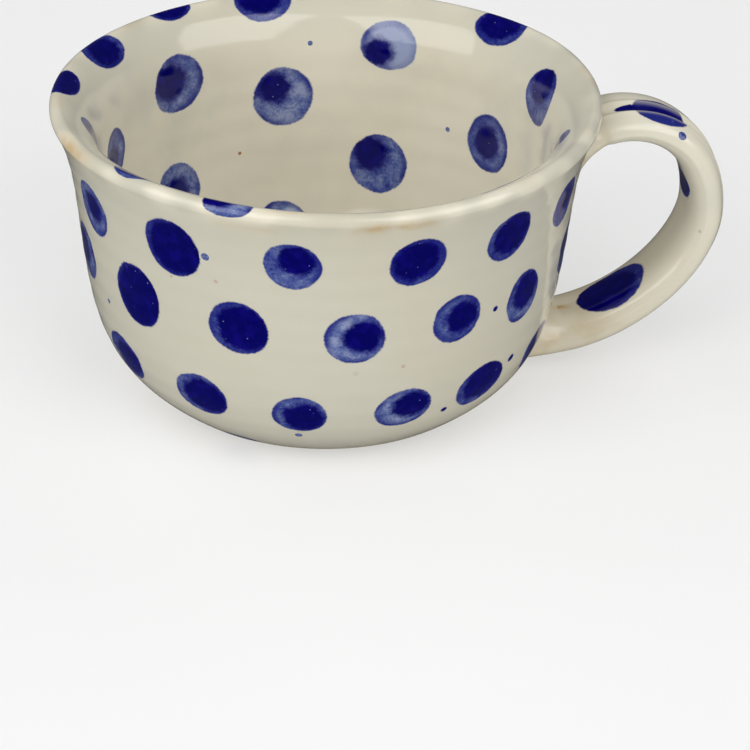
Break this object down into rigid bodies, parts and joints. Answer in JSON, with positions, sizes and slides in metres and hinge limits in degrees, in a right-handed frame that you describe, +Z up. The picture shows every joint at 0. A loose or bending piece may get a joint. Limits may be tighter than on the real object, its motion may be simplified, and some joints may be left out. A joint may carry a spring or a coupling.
{
  "type": "mug",
  "caption": "Wide, low stoneware mug with a rolled lip, a bare foot ring and a pulled strap handle, glazed cream and stamped with cobalt dots.",
  "frame": {"origin": "centre of the foot ring on the plane that the mug stands on", "axes": "+Z up along the mug's axis, towards the open rim; +X from the axis towards the handle; +Y completes the right-handed set"},
  "size_m": [0.1381, 0.11, 0.064],
  "materials": {
    "body_glaze": "glossy warm cream glaze with hand-stamped cobalt-blue dots about 11 mm across, inside and out",
    "handle_glaze": "the same cream glaze with a few cobalt dots",
    "joint_glaze": "the same cream glaze, breaking light brown in the creases of the joint",
    "bare_clay": "unglazed, wiped and sanded stoneware, buff with fine dark specks"
  },
  "bodies": {
    "root": {"cup_body": "body_glaze", "foot_ring": "bare_clay", "handle": "handle_glaze", "upper_joint": "joint_glaze", "lower_joint": "joint_glaze"}
  },
  "joints": []
}
